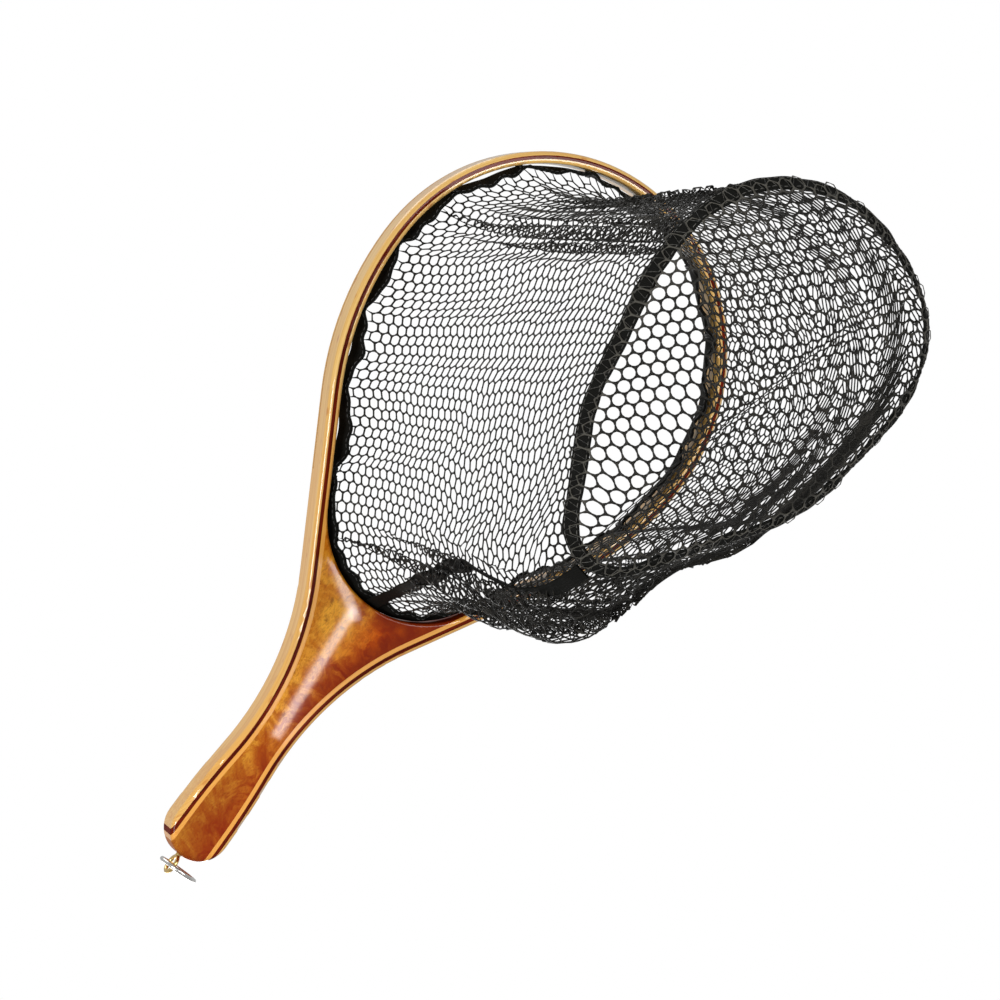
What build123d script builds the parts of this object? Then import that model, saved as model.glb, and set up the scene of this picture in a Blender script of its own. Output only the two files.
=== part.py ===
from build123d import *
from math import cos, radians, sin
import os

# A wooden trout landing net: a laminated hoop and handle, a laced net bag with a flat bottom.
# X runs across the net, +Y from the handle to the hoop's tip, +Z out of the mouth of the bag.
# The origin is the centre of the grip, at mid thickness. Lengths are in mm, angles in degrees.

# Hoop and handle outline, from the tip down one side
TIP_RADIUS = 110.0
SIDE_RADIUS = 169.0
TAPER = 31.3
WAIST_RADIUS = 155.0
WAIST_HALF_WIDTH = 13.5
SWELL_ANGLE = 6.0
SWELL_RADIUS = 400.0
THROAT_RADIUS = 58.0
HOOP_Y = 275.0
THICKNESS = 18.0
OUTER_ROUND = 3.0
INNER_ROUND = 1.5

# Laminations, from the outside in
OUTER_STRIP = 2.2
MIDDLE_STRIP = 2.0
INNER_STRIP = 2.2
WOOD = OUTER_STRIP + MIDDLE_STRIP + INNER_STRIP

# Lacing
STATIONS = 15
LACED_STRAIGHT = 40.0
LACE = 1.0
LACE_Z = 4.7
HOLE_RADIUS = 0.8
GROOVE_WIDTH = 1.4
GROOVE_DEPTH = 1.1
LOOP_DROP = 5.7
LOOP_PLAY = 0.2
KNOT_RADIUS = 1.6
KNOT_LENGTH = 4.0
KNOT_DROP = 2.0
KNOT_GAP = 0.25
CORD_FIT = 0.05

# Hem tape
TAPE_GAP = 1.4
TAPE_THICK = 1.2
TAPE_TOP = 4.0
TAPE_HEIGHT = 10.0
TAPE_HOLE = 1.4
THREAD = 0.4
ROW_INSET = 1.2

# Bag
BAG_DEPTH = 220.0
NET_THICK = 1.0
WALL_OUTSET = 0.2
RING_RADIUS = 71.0
RING_SIDE_RADIUS = 170.0
RING_END_RADIUS = 25.0
RING_SHIFT = 28.0
BINDING_HEIGHT = 10.0
BINDING_THICK = 1.4
FIT_GAP = 0.5
SEAM_WIDTH = 10.0
SEAM_THICK = 0.5
SEAM_TOP_GAP = 0.4
SEAM_FOOT_GAP = 0.8

# Screw eye and split ring
SHANK_RADIUS = 1.5
SHANK_LENGTH = 18.0
PILOT_FIT = 0.05
EYE_HOLE_RADIUS = 3.5
WIRE_RADIUS = 1.1
RING_MAJOR_RADIUS = 10.0
RING_PLAY = 0.15

# Construction: past the wood's outside, well past everything, and how near counts as touching
MARGIN = 2.0
FAR = 60.0
WHOLE = 600.0
SAME_HEIGHT = 0.01
ON_LINE = 0.1


def side_end(radius, offset_x):
    """The point and centre at the end of a side arc, where the straight taper starts."""
    angle = radians(TAPER)
    return radius * cos(angle) - offset_x, -radius * sin(angle)


def tapered(x, y, length):
    """The point this far along the straight taper from x, y."""
    angle = radians(TAPER)
    return x - length * sin(angle), y - length * cos(angle)


def taper_length():
    """The length of the straight taper between the side arc and the waist arc."""
    x, _ = side_end(SIDE_RADIUS, SIDE_RADIUS - TIP_RADIUS)
    waist_x = WAIST_HALF_WIDTH + WAIST_RADIUS * (1 - cos(radians(TAPER)))
    return (x - waist_x) / sin(radians(TAPER))


def outline_side(inset):
    """The edges of the right side of the frame, inset from its outside, and the last point."""
    centre_x = TIP_RADIUS - SIDE_RADIUS
    x, y = side_end(SIDE_RADIUS - inset, -centre_x)
    x2, y2 = tapered(x, y, taper_length())
    waist = WAIST_RADIUS + inset
    wx = x2 + waist * cos(radians(TAPER))
    wy = y2 - waist * sin(radians(TAPER))
    sweep = TAPER + SWELL_ANGLE
    x3 = wx - waist * cos(radians(SWELL_ANGLE))
    y3 = wy - waist * sin(radians(SWELL_ANGLE))
    swell = SWELL_RADIUS - inset
    sx = x3 - swell * cos(radians(SWELL_ANGLE))
    sy = y3 - swell * sin(radians(SWELL_ANGLE))
    edges = [
        CenterArc((0, HOOP_Y), TIP_RADIUS - inset, 0, 90),
        CenterArc((centre_x, HOOP_Y), SIDE_RADIUS - inset, -TAPER, TAPER),
        Line((x, HOOP_Y + y), (x2, HOOP_Y + y2)),
        CenterArc((wx, HOOP_Y + wy), waist, 180 - TAPER, sweep),
        CenterArc((sx, HOOP_Y + sy), swell, 0, SWELL_ANGLE),
    ]
    return edges, sx + swell, HOOP_Y + sy


def both_sides(edges):
    """One face from the edges of its right side and their mirror images."""
    mirrored = [edge.mirror(Plane.YZ) for edge in edges]
    return make_face(Wire(edges + mirrored))


def band_region(inset):
    """Everything inside the frame outline inset by this much, open past the butt."""
    edges, x, y = outline_side(inset)
    edges += [Line((x, y), (x, y - FAR)), Line((x, y - FAR), (0, y - FAR))]
    return both_sides(edges)


def frame_face():
    """The whole frame outline with its round butt."""
    edges, x, y = outline_side(0)
    return both_sides(edges + [CenterArc((0, y), x, -90, 90)])


def egg(radius, side_radius, end_radius, centre_y):
    """An egg outline: round tip, fuller sides, straight tapers and a round end."""
    angle = radians(TAPER)
    x, y = side_end(side_radius, side_radius - radius)
    end_y = (end_radius - x * cos(angle) + y * sin(angle)) / sin(angle)
    ex, ey = end_radius * cos(angle), end_y - end_radius * sin(angle)
    edges = [
        CenterArc((0, centre_y), radius, 0, 90),
        CenterArc((radius - side_radius, centre_y), side_radius, -TAPER, TAPER),
        Line((x, centre_y + y), (ex, centre_y + ey)),
        CenterArc((0, centre_y + end_y), end_radius, -90, 90 - TAPER),
    ]
    return both_sides(edges)


def mouth(inset):
    """The hoop's opening, this far inside the frame outline."""
    throat = THROAT_RADIUS + WOOD - inset
    return egg(TIP_RADIUS - inset, SIDE_RADIUS - inset, throat, HOOP_Y)


def bottom_outline(inset):
    """The bag's bottom outline, this far inside the foot of its wall."""
    radii = [r - inset for r in (RING_RADIUS, RING_SIDE_RADIUS, RING_END_RADIUS)]
    return egg(*radii, HOOP_Y + RING_SHIFT)


def slab(face, low, high):
    """A face in XY made solid between two heights."""
    return Pos(0, 0, low) * extrude(face, high - low)


def lacing_side(inset):
    """The laced right side of the hoop, from the tip to the last hole."""
    centre_x = TIP_RADIUS - SIDE_RADIUS
    x, y = side_end(SIDE_RADIUS - inset, -centre_x)
    x2, y2 = tapered(x, y, LACED_STRAIGHT)
    return [
        CenterArc((0, HOOP_Y), TIP_RADIUS - inset, 0, 90),
        CenterArc((centre_x, HOOP_Y), SIDE_RADIUS - inset, -TAPER, TAPER),
        Line((x, HOOP_Y + y), (x2, HOOP_Y + y2)),
    ]


def lacing_path(inset):
    """The laced part of the hoop as one wire."""
    edges = lacing_side(inset)
    return Wire(edges + [edge.mirror(Plane.YZ) for edge in edges])


def stations():
    """The location of each lacing hole: X points inwards, Y along the hoop, Z up."""
    path = lacing_path(0)
    found = []
    for i in range(STATIONS):
        length = path.length * i / (STATIONS - 1)
        point = path.position_at(length, position_mode=PositionMode.LENGTH)
        along = path.tangent_at(length, position_mode=PositionMode.LENGTH)
        inward = Vector(-along.Y, along.X, 0)
        centre = Vector(0, HOOP_Y, 0)
        if inward.dot(centre - point) < 0:
            inward = inward * -1
        found.append(Plane(origin=point, x_dir=inward, z_dir=(0, 0, 1)).location)
    return found


def wooden_body():
    """The frame with its mouth cut out and its edges rounded, before it is parted."""
    body = slab(frame_face(), -THICKNESS / 2, THICKNESS / 2)
    flat = [e for e in body.edges() if abs(abs(e.center().Z) - THICKNESS / 2) < SAME_HEIGHT]
    body = fillet(flat, OUTER_ROUND)
    hole = mouth(WOOD)
    body -= slab(hole, -THICKNESS, THICKNESS)
    rim = hole.face().outer_wire()
    inner = []
    for edge in body.edges():
        middle = edge.position_at(0.5)
        level = abs(abs(middle.Z) - THICKNESS / 2) < SAME_HEIGHT
        if level and rim.distance_to(Vector(middle.X, middle.Y, 0)) < ON_LINE:
            inner.append(edge)
    return fillet(inner, INNER_ROUND)


def radial_bar(radius, start, end, height):
    """A round bar pointing into the hoop, in a station's own axes."""
    bar = Rot(0, 90, 0) * Cylinder(radius, end - start)
    return Pos((start + end) / 2, 0, height) * bar


def radial_box(start, end, width, low, high):
    """A box pointing into the hoop, in a station's own axes."""
    return Pos((start + end) / 2, 0, (low + high) / 2) * Box(end - start, width, high - low)


def groove():
    """The channel round the outside of the hoop that the lacing lies in."""
    low, high = LACE_Z - GROOVE_WIDTH / 2, LACE_Z + GROOVE_WIDTH / 2
    ring = slab(band_region(-MARGIN), low, high) - slab(band_region(GROOVE_DEPTH), low, high)
    last = lacing_side(0)[-1].position_at(1)
    return ring & Pos(0, last.Y + WHOLE / 2, LACE_Z) * Box(WHOLE, WHOLE, THICKNESS)


def eye_centre_y():
    """Where the screw eye's hole is, just past the butt."""
    _, x, y = outline_side(0)
    return y - x - EYE_HOLE_RADIUS - 2 * WIRE_RADIUS - FIT_GAP


def wooden_parts(places):
    """The three laminations and the core, drilled and grooved."""
    body = wooden_body()
    holes = [p * radial_bar(HOLE_RADIUS, -MARGIN, WOOD + MARGIN / 2, LACE_Z) for p in places]
    regions = [band_region(i) for i in (-MARGIN, OUTER_STRIP, OUTER_STRIP + MIDDLE_STRIP, WOOD)]
    solids = [slab(face, -THICKNESS, THICKNESS) for face in regions]
    outer = (body & (solids[0] - solids[1])) - groove()
    middle = body & (solids[1] - solids[2])
    inner = body & (solids[2] - solids[3])
    core = body & solids[3]
    pilot = Rot(90, 0, 0) * Cylinder(SHANK_RADIUS + PILOT_FIT, SHANK_LENGTH * 2)
    butt_y = eye_centre_y() + EYE_HOLE_RADIUS + 2 * WIRE_RADIUS
    drilled = [strip - Compound(holes) for strip in (outer, middle, inner)]
    return drilled + [core - Pos(0, butt_y, 0) * pilot]


def lacing_cord():
    """The lacing in its groove, end to end."""
    path = lacing_path(LACE / 2)
    section = path.location_at(0) * Circle(LACE / 2)
    return Pos(0, 0, LACE_Z) * sweep(section, path=path)


def lacing_loop():
    """One stitch in a station's axes: through the hoop, over the tape and back through it."""
    half = LACE / 2
    tape_in = WOOD + TAPE_GAP
    start, end = tape_in - LOOP_PLAY - LACE, tape_in + TAPE_THICK + LOOP_PLAY + LACE
    low, high = LACE_Z - LOOP_DROP - half, LACE_Z + half
    loop = radial_box(start, end, LACE, low, high)
    loop -= radial_box(start + LACE, end - LACE, 2 * LACE, low + LACE, high - LACE)
    return loop + radial_bar(half, LACE + CORD_FIT, start + LOOP_PLAY / 2, LACE_Z)


def lacing_knots(places):
    """The stopper knots on the first and last stitches."""
    start = WOOD + TAPE_GAP + TAPE_THICK + KNOT_GAP + LACE
    place = Pos(start + KNOT_RADIUS, 0, LACE_Z - KNOT_DROP)
    knot = place * Cylinder(KNOT_RADIUS, KNOT_LENGTH)
    return Compound([places[0] * knot, places[-1] * knot])


def hem_tape(places):
    """The tape round the top of the bag, with a hole for each stitch."""
    start = WOOD + TAPE_GAP
    low = TAPE_TOP - TAPE_HEIGHT
    tape = slab(mouth(start), low, TAPE_TOP) - slab(mouth(start + TAPE_THICK), low, TAPE_TOP)
    centre = LACE_Z - LOOP_DROP
    low_side, high_side = centre - TAPE_HOLE / 2, centre + TAPE_HOLE / 2
    hole = radial_box(start - TAPE_THICK, start + 2 * TAPE_THICK, TAPE_HOLE, low_side, high_side)
    return tape - Compound([place * hole for place in places])


def ribbon(outline, inset, low):
    """One row of thread lying on a closed outline's inside."""
    high = low + THREAD
    return slab(outline(inset), low, high) - slab(outline(inset + THREAD), low, high)


def hem_stitching():
    """The row of thread along the hem tape's lower edge."""
    inset = WOOD + TAPE_GAP + TAPE_THICK
    return ribbon(mouth, inset, TAPE_TOP - TAPE_HEIGHT + ROW_INSET)


def bag_wall():
    """The tube of netting from the hem tape down to the bottom binding."""
    top = TAPE_TOP - TAPE_HEIGHT
    foot = -THICKNESS / 2 - BAG_DEPTH
    start = WOOD + TAPE_GAP - WALL_OUTSET
    shell = []
    for inset in (0, NET_THICK):
        upper = Pos(0, 0, top) * mouth(start + inset)
        lower = Pos(0, 0, foot) * bottom_outline(inset)
        shell.append(loft([upper, lower], ruled=True))
    return shell[0] - shell[1]


def side_seam_tape():
    """The tape over the wall's closing seam, on the handle side of the bag."""
    top = TAPE_TOP - TAPE_HEIGHT
    foot = -THICKNESS / 2 - BAG_DEPTH
    start = WOOD + TAPE_GAP - WALL_OUTSET
    ends = []
    places = ((mouth(start), SEAM_TOP_GAP, top), (bottom_outline(0), SEAM_FOOT_GAP, foot))
    for face, gap, height in places:
        y = face.bounding_box().min.Y - SEAM_THICK / 2 - gap
        ends.append(Pos(0, y, height) * Rectangle(SEAM_WIDTH, SEAM_THICK))
    return loft(ends, ruled=True)


def bottom_binding():
    """The tape that joins the wall to the bottom panel."""
    high = -THICKNESS / 2 - BAG_DEPTH - FIT_GAP
    low = high - BINDING_HEIGHT
    inset = NET_THICK + FIT_GAP
    outer, inner = bottom_outline(inset), bottom_outline(inset + BINDING_THICK)
    return slab(outer, low, high) - slab(inner, low, high)


def binding_stitching():
    """The row of thread along the bottom binding."""
    low = -THICKNESS / 2 - BAG_DEPTH - FIT_GAP - BINDING_HEIGHT + ROW_INSET
    rows = [low, low + BINDING_HEIGHT - 2 * ROW_INSET - THREAD]
    inset = NET_THICK + FIT_GAP + BINDING_THICK
    return Compound([ribbon(bottom_outline, inset, row) for row in rows])


def bottom_panel():
    """The flat netting bottom, inside its binding."""
    middle = -THICKNESS / 2 - BAG_DEPTH - FIT_GAP - BINDING_HEIGHT / 2
    face = bottom_outline(NET_THICK + FIT_GAP + BINDING_THICK)
    return slab(face, middle - NET_THICK / 2, middle + NET_THICK / 2)


def screw_eye():
    """The brass eye in the butt, its hole across the net."""
    y = eye_centre_y()
    eye = Pos(0, y, 0) * Rot(0, 90, 0) * Torus(EYE_HOLE_RADIUS + WIRE_RADIUS, WIRE_RADIUS)
    start = y + EYE_HOLE_RADIUS + WIRE_RADIUS
    shank = Rot(90, 0, 0) * Cylinder(SHANK_RADIUS, SHANK_LENGTH)
    return eye + Pos(0, start + SHANK_LENGTH / 2, 0) * shank


def ring_pivot_z():
    """The height at which the split ring's wire rests in the eye."""
    return -(EYE_HOLE_RADIUS - WIRE_RADIUS - RING_PLAY)


def split_ring():
    """The ring that hangs in the screw eye."""
    ring = Rot(90, 0, 0) * Torus(RING_MAJOR_RADIUS, WIRE_RADIUS)
    return Pos(0, eye_centre_y(), ring_pivot_z() - RING_MAJOR_RADIUS) * ring


def main():
    places = stations()
    outer, middle, inner, core = wooden_parts(places)
    parts = {
        "outer_lamination": outer,
        "middle_lamination": middle,
        "inner_lamination": inner,
        "handle_core": core,
        "lacing_cord": lacing_cord(),
        "lacing_loops": Compound([place * lacing_loop() for place in places]),
        "lacing_knots": lacing_knots(places),
        "hem_tape": hem_tape(places),
        "hem_stitching": hem_stitching(),
        "bag_wall": bag_wall(),
        "side_seam_tape": side_seam_tape(),
        "bottom_binding": bottom_binding(),
        "binding_stitching": binding_stitching(),
        "bottom_panel": bottom_panel(),
        "screw_eye": screw_eye(),
        "split_ring": split_ring(),
    }
    os.makedirs("parts", exist_ok=True)
    for name, shape in parts.items():
        export_step(shape, f"parts/{name}.step")


main()
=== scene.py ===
"""Looks for a wooden trout landing net: lacquered wood, black netting, webbing and lacing."""
import math

import bpy
import numpy as np
from mathutils import Matrix, Vector


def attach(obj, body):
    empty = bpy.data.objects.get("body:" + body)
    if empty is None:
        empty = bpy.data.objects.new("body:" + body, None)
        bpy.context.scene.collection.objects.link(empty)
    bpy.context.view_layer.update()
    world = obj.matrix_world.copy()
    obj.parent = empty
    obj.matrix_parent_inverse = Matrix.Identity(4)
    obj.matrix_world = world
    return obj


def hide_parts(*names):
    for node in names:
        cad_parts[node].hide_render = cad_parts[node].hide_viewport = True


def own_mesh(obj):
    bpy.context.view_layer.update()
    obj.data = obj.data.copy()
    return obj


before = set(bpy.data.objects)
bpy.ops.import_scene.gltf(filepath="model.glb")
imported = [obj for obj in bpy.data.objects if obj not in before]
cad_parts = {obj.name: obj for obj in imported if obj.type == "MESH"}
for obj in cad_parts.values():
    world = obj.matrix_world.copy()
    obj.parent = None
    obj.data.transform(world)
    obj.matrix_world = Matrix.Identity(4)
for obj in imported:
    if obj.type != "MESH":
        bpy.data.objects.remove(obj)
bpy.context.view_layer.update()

MM = 0.001

# The hoop and bag outlines that the CAD model is drawn from, in metres
TAPER = math.radians(31.3)
TIP_RADIUS = 110 * MM
SIDE_RADIUS = 169 * MM
THROAT_RADIUS = 58 * MM
WAIST_RADIUS = 155 * MM
WAIST_HALF_WIDTH = 13.5 * MM
HOOP_Y = 275 * MM
HALF_DEPTH = 9 * MM
WOOD = 6.4 * MM
LACE_Z = 4.7 * MM
LACED_STRAIGHT = 40 * MM
STATIONS = 15
RING = (71 * MM, 170 * MM, 25 * MM)
RING_Y = 303 * MM
BAG_DEPTH = 220 * MM

# Netting: half the cords' thickness and widths, the panel's cell, and the wall's cells
CORD = 0.40 * MM
KNOT_WIDTH = 0.88 * MM
PANEL_CELL = 6.15 * MM
EVEN_WIDTHS = (0.42 * MM,) * 6
WALL_WIDTHS = tuple(w * MM for w in (0.40, 0.76, 0.40, 0.40, 0.76, 0.40))
AROUND = 142
DEEP = 37

# Tapes, the height of the bottom binding, and where the netting starts down the hem tape
TAPE_WIDTH = 10 * MM
HEM_THICK = 1.5 * MM
BINDING_WIDTH = 8.0 * MM
BINDING_THICK = 1.4 * MM
SEAM_WIDTH = 8.0 * MM
SEAM_THICK = 1.0 * MM
RING_LEVEL = -HALF_DEPTH - BAG_DEPTH - 5.5 * MM
UNDER_HEM = 5 * MM

SEED = 7

# Where the camera stands, in metres, and how it is turned, in degrees
CAMERA_PLACE = (0.4641, -0.0005, -1.2328)
CAMERA_TURN = (173.494, 22.519, 141.169)


# ---------------------------------------------------------------- outlines


class Loop:
    """A closed line, walked by its share of length from the handle side, towards +X first."""

    def __init__(self, points):
        self.points = np.vstack([points, points[:1]])
        steps = np.linalg.norm(np.diff(self.points, axis=0), axis=1)
        self.length = steps.sum()
        self.share = np.concatenate([[0], np.cumsum(steps)]) / self.length

    def at(self, share):
        share = np.mod(share, 1.0)
        axes = range(self.points.shape[1])
        return np.stack([np.interp(share, self.share, self.points[:, k]) for k in axes], -1)

    def outward(self, share):
        step = self.at(share + 0.002) - self.at(share - 0.002)
        normal = np.stack([step[..., 1], -step[..., 0]], -1)
        return normal / np.linalg.norm(normal, axis=-1, keepdims=True)


def arc(centre, radius, start, end, count=60):
    """Points along an arc, angles in radians."""
    angles = np.linspace(start, end, count)
    return np.stack([centre[0] + radius * np.cos(angles), centre[1] + radius * np.sin(angles)], -1)


def egg(radius, side_radius, end_radius, centre_y):
    """An egg outline: a round end towards the handle, straight tapers, fuller sides and a
    round tip."""
    x = side_radius * math.cos(TAPER) - (side_radius - radius)
    y = -side_radius * math.sin(TAPER)
    end_y = (end_radius - x * math.cos(TAPER) + y * math.sin(TAPER)) / math.sin(TAPER)
    right = np.vstack([
        arc((0, end_y), end_radius, -math.pi / 2, -TAPER),
        arc((radius - side_radius, 0), side_radius, -TAPER, 0),
        arc((0, 0), radius, 0, math.pi / 2)[1:],
    ])
    left = right[-2:0:-1] * (-1, 1)
    return Loop(np.vstack([right, left]) + (0, centre_y))


def mouth(inset):
    """The hoop's opening, this far inside its outer outline."""
    return egg(TIP_RADIUS - inset, SIDE_RADIUS - inset, THROAT_RADIUS + WOOD - inset, HOOP_Y)


def hoop_point(distance, inset):
    """A point on the laced part of the hoop, by distance from the tip, this far inside it."""
    side = 1 if distance >= 0 else -1
    left = abs(distance)
    centre, radius, angle = (0.0, 0.0), TIP_RADIUS, math.pi / 2 - left / TIP_RADIUS
    quarter = TIP_RADIUS * math.pi / 2
    if left > quarter:
        centre, radius = (TIP_RADIUS - SIDE_RADIUS, 0.0), SIDE_RADIUS
        angle = -(left - quarter) / SIDE_RADIUS
    along = 0.0
    if angle < -TAPER:
        along = (-TAPER - angle) * SIDE_RADIUS
        angle = -TAPER
    out = np.array([math.cos(angle), math.sin(angle)])
    point = np.array(centre) + (radius - inset) * out
    point = point + along * np.array([out[1], -out[0]])
    return point * (side, 1) + (0, HOOP_Y)


def laced_half():
    """The length of the lacing from the tip to its last hole."""
    return TIP_RADIUS * math.pi / 2 + SIDE_RADIUS * TAPER + LACED_STRAIGHT


def bumps(share, seed, waves):
    """A smooth random wave round a loop, between about -1 and 1."""
    rng = np.random.default_rng(seed)
    total = 0
    for k in waves:
        total = total + rng.uniform(0.5, 1.0) * np.sin(2 * np.pi * (k * share + rng.uniform()))
    return total / len(waves)


def near(share, centre, width):
    """1 at a place on a loop, falling smoothly to 0 a width away."""
    gap = np.abs(np.mod(share - centre + 0.5, 1.0) - 0.5)
    return np.exp(-((gap / width) ** 2))


HEM = mouth(WOOD + 1.3 * MM)
FOOT = egg(*RING, RING_Y)


def station_shares():
    """Where the lacing holes are, as shares of the hem's length."""
    dense = np.linspace(0, 1, 4000, endpoint=False)
    line = HEM.at(dense)
    half = laced_half()
    found = []
    for k in range(STATIONS):
        point = hoop_point(half - 2 * half * k / (STATIONS - 1), WOOD)
        found.append(dense[np.argmin(np.linalg.norm(line - point, axis=1))])
    return np.array(sorted(found))


STATION_SHARES = station_shares()


def slack(share):
    """How far a point on the hem is from its stitches: 0 at a stitch, up to 1 between two."""
    share = np.mod(share, 1.0)
    ends = np.concatenate([[STATION_SHARES[-1] - 1], STATION_SHARES, [STATION_SHARES[0] + 1]])
    index = np.clip(np.searchsorted(ends, share) - 1, 0, len(ends) - 2)
    phase = (share - ends[index]) / (ends[index + 1] - ends[index])
    sizes = np.random.default_rng(SEED).uniform(0.35, 1.0, len(ends))
    sizes[0] = sizes[-2] = 0.25
    drawn_tight = 1 - 0.8 * near(share, 0.45, 0.09)
    return np.sin(np.pi * np.clip(phase, 0, 1)) ** 1.4 * sizes[index] * drawn_tight


def throat(share):
    """1 at the throat, 0 along the laced hoop."""
    return near(share, 0.0, 0.085)


# The hem tape's top edge at a stitch, then how far it comes in and drops between two
# stitches and at the throat
HEM_TOP = 3.6 * MM
HEM_SLACK = (3.2 * MM, 1.5 * MM)
HEM_AT_THROAT = (-1.6 * MM, 4.2 * MM)


def hem_line(share):
    """The top edge of the hem tape, in metres."""
    flat = HEM.at(share)
    inward = -HEM.outward(share)
    loose, at_throat = slack(share), throat(share)
    pull = loose * HEM_SLACK[0] + at_throat * HEM_AT_THROAT[0]
    height = HEM_TOP - loose * HEM_SLACK[1] - at_throat * HEM_AT_THROAT[1]
    return np.concatenate([flat + inward * pull[..., None], height[..., None]], -1)


def hem_lean(share):
    """How far the hem tape leans inwards from upright, in radians."""
    turned = 13 * bumps(share, 3, (17, 23, 31)) + 9 * bumps(share, 4, (41, 53))
    return np.radians(10 + 16 * slack(share) + 16 * throat(share) + turned)


def hem_across(share):
    """The direction across the hem tape, from its top edge down."""
    inward = -HEM.outward(share)
    lean = hem_lean(share)[..., None]
    return np.concatenate([inward * np.sin(lean), -np.cos(lean)], -1)


# Where the bottom binding is pushed out: place and width round the bag, and how far; and how
# far its handle end is drawn aside
RING_PUSHES = ((0.615, 0.07, 7 * MM), (0.13, 0.06, 3 * MM))
RING_ASIDE = (12 * MM, 3 * MM)


def ring_line(share):
    """The middle of the bottom binding, in metres: the egg, drawn aside and pushed out."""
    flat = FOOT.at(share)
    outward = FOOT.outward(share)
    push = 1.2 * MM * bumps(share, 11, (3, 5, 9)) - 1.5 * MM
    for place, width, far in RING_PUSHES:
        push = push + far * near(share, place, width)
    low = np.clip((HOOP_Y - flat[..., 1]) / (110 * MM), 0, 1)
    drawn = low * low * (3 - 2 * low)
    aside = drawn[..., None] * RING_ASIDE
    height = RING_LEVEL + 2.0 * MM * bumps(share, 12, (2, 3, 7))
    return np.concatenate([flat + aside + outward * push[..., None], height[..., None]], -1)


# ---------------------------------------------------------------- netting


# Pleats: place round the bag at the hem and at the foot, widths there, waves round the bag,
# share slid along the wall, and height off it
PLEATS = (
    (0.318, 0.304, 0.010, 0.022, 66, 0.0125, 3.6 * MM),
    (0.378, 0.388, 0.024, 0.045, 60, 0.0080, 1.8 * MM),
    (0.056, -0.035, 0.008, 0.026, 62, 0.0120, 4.0 * MM),
    (0.975, 0.945, 0.018, 0.045, 60, 0.0075, 3.4 * MM),
    (0.870, 0.840, 0.020, 0.040, 70, 0.0038, 2.0 * MM),
)

# Where the wall sags in or swells out: place and width round the bag, how far, and the power
# that moves the widest part down (over 1) or up (under 1)
SWELLS = (
    (0.24, 0.22, -12 * MM, 0.52),
    (0.45, 0.08, -12 * MM, 0.52),
    (0.965, 0.055, 22 * MM, 2.6),
    (0.85, 0.06, 9 * MM, 2.6),
    (0.0, 0.04, 5 * MM, 1.0),
    (0.72, 0.09, 6 * MM, 1.0),
)


def gather(share, down):
    """Where the netting is bunched into pleats: how far it slides along the wall, as a share
    round the bag, and how far it stands off."""
    slide = np.zeros_like(share)
    stand = np.zeros_like(share)
    for first, last, narrow, broad, waves, size, height in PLEATS:
        centre = first + (last - first) * down
        spread = np.clip(down * 1.8, 0, 1)
        window = near(share, centre, narrow + (broad - narrow) * spread) * (0.45 + 0.55 * spread)
        gap = np.mod(share - centre + 0.5, 1.0) - 0.5
        slide = slide - window * size * np.sin(2 * np.pi * waves * gap)
        stand = stand + window * height * np.cos(2 * np.pi * waves * gap)
    return slide, stand


def wall_point(share, down):
    """The wall's surface by share round the bag and share of its depth."""
    slide, stand = gather(share, down)
    share = share + slide
    top = hem_line(share) + hem_across(share) * UNDER_HEM
    foot = ring_line(share)
    point = top + (foot - top) * down[..., None]
    hem_out, foot_out = HEM.outward(share), FOOT.outward(share)
    outward = hem_out + (foot_out - hem_out) * down[..., None]
    depth = np.clip(down, 0, 1)
    hung = np.sin(np.pi * depth)
    fold = 1.6 * MM * bumps(share, 21, (4, 7, 11)) * hung
    fold = fold + 0.8 * MM * bumps(share + 0.05 * down, 22, (17, 23, 31)) * hung
    for place, width, far, power in SWELLS:
        fold = fold + far * near(share, place, width) * np.sin(np.pi * depth ** power)
    fold = fold + stand * np.clip(down * 9, 0.15, 1) * np.clip((1 - down) * 9, 0.15, 1)
    point[..., :2] += outward * fold[..., None]
    return point


class EvenShares:
    """Shares round the bag that are evenly spaced along the pleated netting at every depth,
    counted both ways from a place where it hangs plain."""

    PLAIN = 0.20

    def __init__(self):
        self.share = self.PLAIN + np.linspace(0, 1, 4001)
        self.depths = np.linspace(0, 1, 73)
        rows = []
        for depth in self.depths:
            line = wall_point(self.share, np.full_like(self.share, depth))
            steps = np.linalg.norm(np.diff(line, axis=0), axis=1)
            walked = np.concatenate([[0], np.cumsum(steps)])
            rows.append(walked / walked[-1])
        self.walked = np.array(rows)

    def __call__(self, value, down):
        value = np.mod(value - self.PLAIN, 1.0)
        rows = np.array([np.interp(value, walked, self.share) for walked in self.walked])
        place = np.clip(down, 0, 1) * (len(self.depths) - 1)
        low = np.minimum(place.astype(int), len(self.depths) - 2)
        here = np.arange(len(value))
        return rows[low, here] + (rows[low + 1, here] - rows[low, here]) * (place - low)


# A pointed-top hexagon's corners, in quarter cells across and quarter radii up
HEXAGON = np.array([(0, 4), (-2, 2), (-2, -2), (0, -4), (2, -2), (2, 2)])


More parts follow.
